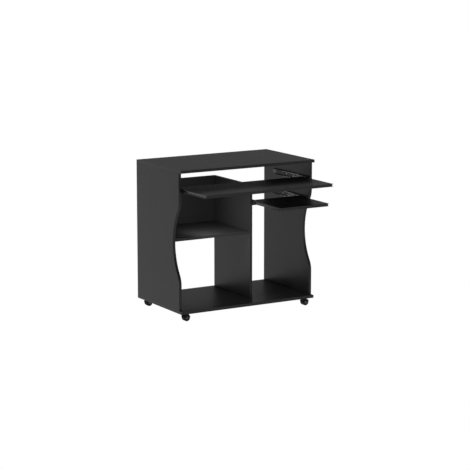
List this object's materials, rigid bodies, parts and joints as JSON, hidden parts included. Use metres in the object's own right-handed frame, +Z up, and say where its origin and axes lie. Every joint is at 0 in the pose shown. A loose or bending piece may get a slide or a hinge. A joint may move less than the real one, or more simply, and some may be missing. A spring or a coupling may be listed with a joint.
{
  "type": "computer desk",
  "caption": "Black board computer desk on casters with a sliding keyboard tray, a smaller sliding mouse tray, a divider, a half-width shelf and curved side panels.",
  "frame": {"origin": "on the floor under the middle of the whole box, with both trays pulled out as at rest; the desk top's own middle is 104 mm behind it", "axes": "+X to the sitter's right along the desk's width, +Y to the back, +Z up"},
  "size_m": [0.8, 0.688, 0.78],
  "materials": {
    "black_melamine": "black melamine-faced chipboard, satin with soft reflections, black edge banding",
    "coated_steel": "black electro-coated sheet steel, satin",
    "bright_steel": "plain zinc-plated steel",
    "black_plastic": "moulded black nylon",
    "grey_plastic": "moulded dark grey nylon wheel"
  },
  "bodies": {
    "carcass": {"top_panel": "black_melamine", "base_panel": "black_melamine", "left_side_panel": "black_melamine", "right_side_panel": "black_melamine", "divider_panel": "black_melamine", "fixed_shelf": "black_melamine", "upper_back_panel": "black_melamine", "left_front_base_screw": "bright_steel", "left_back_base_screw": "bright_steel", "divider_front_base_screw": "bright_steel", "divider_back_base_screw": "bright_steel", "right_front_base_screw": "bright_steel", "right_back_base_screw": "bright_steel", "keyboard_left_outer_rail": "coated_steel", "keyboard_right_outer_rail": "coated_steel", "mouse_left_outer_rail": "coated_steel", "mouse_right_outer_rail": "coated_steel", "front_left_caster_plate": "coated_steel", "front_right_caster_plate": "coated_steel", "back_left_caster_plate": "coated_steel", "back_right_caster_plate": "coated_steel", "front_left_caster_kingpin": "bright_steel", "front_right_caster_kingpin": "bright_steel", "back_left_caster_kingpin": "bright_steel", "back_right_caster_kingpin": "bright_steel"},
    "keyboard_tray_assembly": {"keyboard_tray": "black_melamine", "keyboard_left_inner_rail": "coated_steel", "keyboard_right_inner_rail": "coated_steel"},
    "keyboard_outer_cages": {"keyboard_left_outer_ball_cage": "bright_steel", "keyboard_right_outer_ball_cage": "bright_steel"},
    "keyboard_middle_rails": {"keyboard_left_middle_rail": "coated_steel", "keyboard_right_middle_rail": "coated_steel"},
    "keyboard_inner_cages": {"keyboard_left_inner_ball_cage": "bright_steel", "keyboard_right_inner_ball_cage": "bright_steel"},
    "mouse_tray_assembly": {"mouse_tray": "black_melamine", "mouse_left_inner_rail": "coated_steel", "mouse_right_inner_rail": "coated_steel"},
    "mouse_outer_cages": {"mouse_left_outer_ball_cage": "bright_steel", "mouse_right_outer_ball_cage": "bright_steel"},
    "mouse_middle_rails": {"mouse_left_middle_rail": "coated_steel", "mouse_right_middle_rail": "coated_steel"},
    "mouse_inner_cages": {"mouse_left_inner_ball_cage": "bright_steel", "mouse_right_inner_ball_cage": "bright_steel"},
    "front_left_caster_swivel": {"front_left_caster_hood": "black_plastic", "front_left_caster_axle": "bright_steel"},
    "front_left_caster_front_wheel_body": {"front_left_caster_front_wheel": "grey_plastic"},
    "front_left_caster_back_wheel_body": {"front_left_caster_back_wheel": "grey_plastic"},
    "front_right_caster_swivel": {"front_right_caster_hood": "black_plastic", "front_right_caster_axle": "bright_steel"},
    "front_right_caster_front_wheel_body": {"front_right_caster_front_wheel": "grey_plastic"},
    "front_right_caster_back_wheel_body": {"front_right_caster_back_wheel": "grey_plastic"},
    "back_left_caster_swivel": {"back_left_caster_hood": "black_plastic", "back_left_caster_axle": "bright_steel"},
    "back_left_caster_front_wheel_body": {"back_left_caster_front_wheel": "grey_plastic"},
    "back_left_caster_back_wheel_body": {"back_left_caster_back_wheel": "grey_plastic"},
    "back_right_caster_swivel": {"back_right_caster_hood": "black_plastic", "back_right_caster_axle": "bright_steel"},
    "back_right_caster_front_wheel_body": {"back_right_caster_front_wheel": "grey_plastic"},
    "back_right_caster_back_wheel_body": {"back_right_caster_back_wheel": "grey_plastic"}
  },
  "joints": [
    {"name": "keyboard_middle_rails_slide", "type": "slide", "parent": "carcass", "child": "keyboard_middle_rails", "axis": [0, -1, 0], "range_m": [-0.035, 0.14]},
    {"name": "keyboard_tray_slide", "type": "slide", "parent": "keyboard_middle_rails", "child": "keyboard_tray_assembly", "axis": [0, -1, 0], "range_m": [-0.175, 0]},
    {"name": "keyboard_outer_cages_slide", "type": "slide", "parent": "carcass", "child": "keyboard_outer_cages", "axis": [0, -1, 0], "range_m": [-0.0175, 0.07]},
    {"name": "keyboard_inner_cages_slide", "type": "slide", "parent": "keyboard_middle_rails", "child": "keyboard_inner_cages", "axis": [0, -1, 0], "range_m": [-0.0875, 0]},
    {"name": "mouse_middle_rails_slide", "type": "slide", "parent": "carcass", "child": "mouse_middle_rails", "axis": [0, -1, 0], "range_m": [-0.022, 0.128]},
    {"name": "mouse_tray_slide", "type": "slide", "parent": "mouse_middle_rails", "child": "mouse_tray_assembly", "axis": [0, -1, 0], "range_m": [-0.15, 0]},
    {"name": "mouse_outer_cages_slide", "type": "slide", "parent": "carcass", "child": "mouse_outer_cages", "axis": [0, -1, 0], "range_m": [-0.011, 0.064]},
    {"name": "mouse_inner_cages_slide", "type": "slide", "parent": "mouse_middle_rails", "child": "mouse_inner_cages", "axis": [0, -1, 0], "range_m": [-0.075, 0]},
    {"name": "front_left_caster_swivel_turn", "type": "hinge", "parent": "carcass", "child": "front_left_caster_swivel", "pos_m": [-0.35, -0.108, 0.037], "axis": [0, 0, 1], "continuous": true},
    {"name": "front_left_caster_front_wheel_spin", "type": "hinge", "parent": "front_left_caster_swivel", "child": "front_left_caster_front_wheel_body", "pos_m": [-0.36, -0.108, 0.017], "axis": [0, 1, 0], "continuous": true},
    {"name": "front_left_caster_back_wheel_spin", "type": "hinge", "parent": "front_left_caster_swivel", "child": "front_left_caster_back_wheel_body", "pos_m": [-0.36, -0.108, 0.017], "axis": [0, 1, 0], "continuous": true},
    {"name": "front_right_caster_swivel_turn", "type": "hinge", "parent": "carcass", "child": "front_right_caster_swivel", "pos_m": [0.35, -0.108, 0.037], "axis": [0, 0, 1], "continuous": true},
    {"name": "front_right_caster_front_wheel_spin", "type": "hinge", "parent": "front_right_caster_swivel", "child": "front_right_caster_front_wheel_body", "pos_m": [0.36, -0.108, 0.017], "axis": [0, 1, 0], "continuous": true},
    {"name": "front_right_caster_back_wheel_spin", "type": "hinge", "parent": "front_right_caster_swivel", "child": "front_right_caster_back_wheel_body", "pos_m": [0.36, -0.108, 0.017], "axis": [0, 1, 0], "continuous": true},
    {"name": "back_left_caster_swivel_turn", "type": "hinge", "parent": "carcass", "child": "back_left_caster_swivel", "pos_m": [-0.35, 0.3, 0.037], "axis": [0, 0, 1], "continuous": true},
    {"name": "back_left_caster_front_wheel_spin", "type": "hinge", "parent": "back_left_caster_swivel", "child": "back_left_caster_front_wheel_body", "pos_m": [-0.36, 0.3, 0.017], "axis": [0, 1, 0], "continuous": true},
    {"name": "back_left_caster_back_wheel_spin", "type": "hinge", "parent": "back_left_caster_swivel", "child": "back_left_caster_back_wheel_body", "pos_m": [-0.36, 0.3, 0.017], "axis": [0, 1, 0], "continuous": true},
    {"name": "back_right_caster_swivel_turn", "type": "hinge", "parent": "carcass", "child": "back_right_caster_swivel", "pos_m": [0.35, 0.3, 0.037], "axis": [0, 0, 1], "continuous": true},
    {"name": "back_right_caster_front_wheel_spin", "type": "hinge", "parent": "back_right_caster_swivel", "child": "back_right_caster_front_wheel_body", "pos_m": [0.36, 0.3, 0.017], "axis": [0, 1, 0], "continuous": true},
    {"name": "back_right_caster_back_wheel_spin", "type": "hinge", "parent": "back_right_caster_swivel", "child": "back_right_caster_back_wheel_body", "pos_m": [0.36, 0.3, 0.017], "axis": [0, 1, 0], "continuous": true}
  ],
  "couplings": [
    {"joint": "keyboard_outer_cages_slide", "follows": "keyboard_middle_rails_slide", "ratio": 0.5},
    {"joint": "keyboard_inner_cages_slide", "follows": "keyboard_tray_slide", "ratio": 0.5},
    {"joint": "mouse_outer_cages_slide", "follows": "mouse_middle_rails_slide", "ratio": 0.5},
    {"joint": "mouse_inner_cages_slide", "follows": "mouse_tray_slide", "ratio": 0.5}
  ]
}
